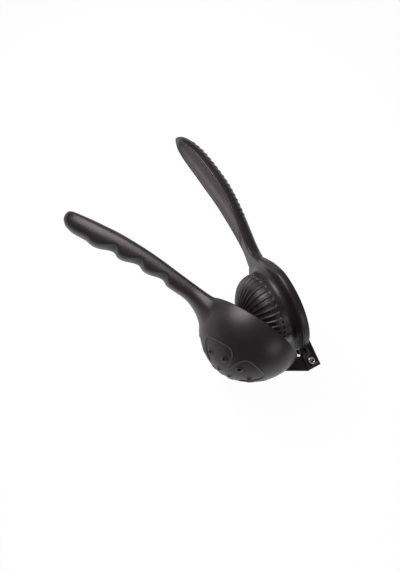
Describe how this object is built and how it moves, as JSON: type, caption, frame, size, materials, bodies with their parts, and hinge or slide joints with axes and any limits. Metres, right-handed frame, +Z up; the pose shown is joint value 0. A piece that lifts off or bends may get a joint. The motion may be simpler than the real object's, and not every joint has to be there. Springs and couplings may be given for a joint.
{
  "type": "hinged lemon squeezer",
  "caption": "Hand squeezer with a round bowl arm and a fluted press arm on a rivet hinge; closing the handles presses a half lemon.",
  "frame": {"origin": "on the table, directly under the middle of the bowl, with the squeezer lying on its side", "axes": "+X along the bowl arm from its grip to the hinge, +Y out of the bowl's mouth, +Z up along the hinge rivet"},
  "size_m": [0.2174, 0.1322, 0.08],
  "materials": {
    "moulding": "satin charcoal moulding",
    "rivet": "bare polished stainless"
  },
  "bodies": {
    "bowl_arm": {"lower_arm": "moulding", "hinge_pin": "rivet"},
    "press_arm": {"upper_arm": "moulding"}
  },
  "joints": [
    {"name": "arm_hinge", "type": "hinge", "parent": "bowl_arm", "child": "press_arm", "pos_m": [0.0507, 0.0055, 0.04], "axis": [0, 0, -1], "range_deg": [-27, 90]}
  ]
}
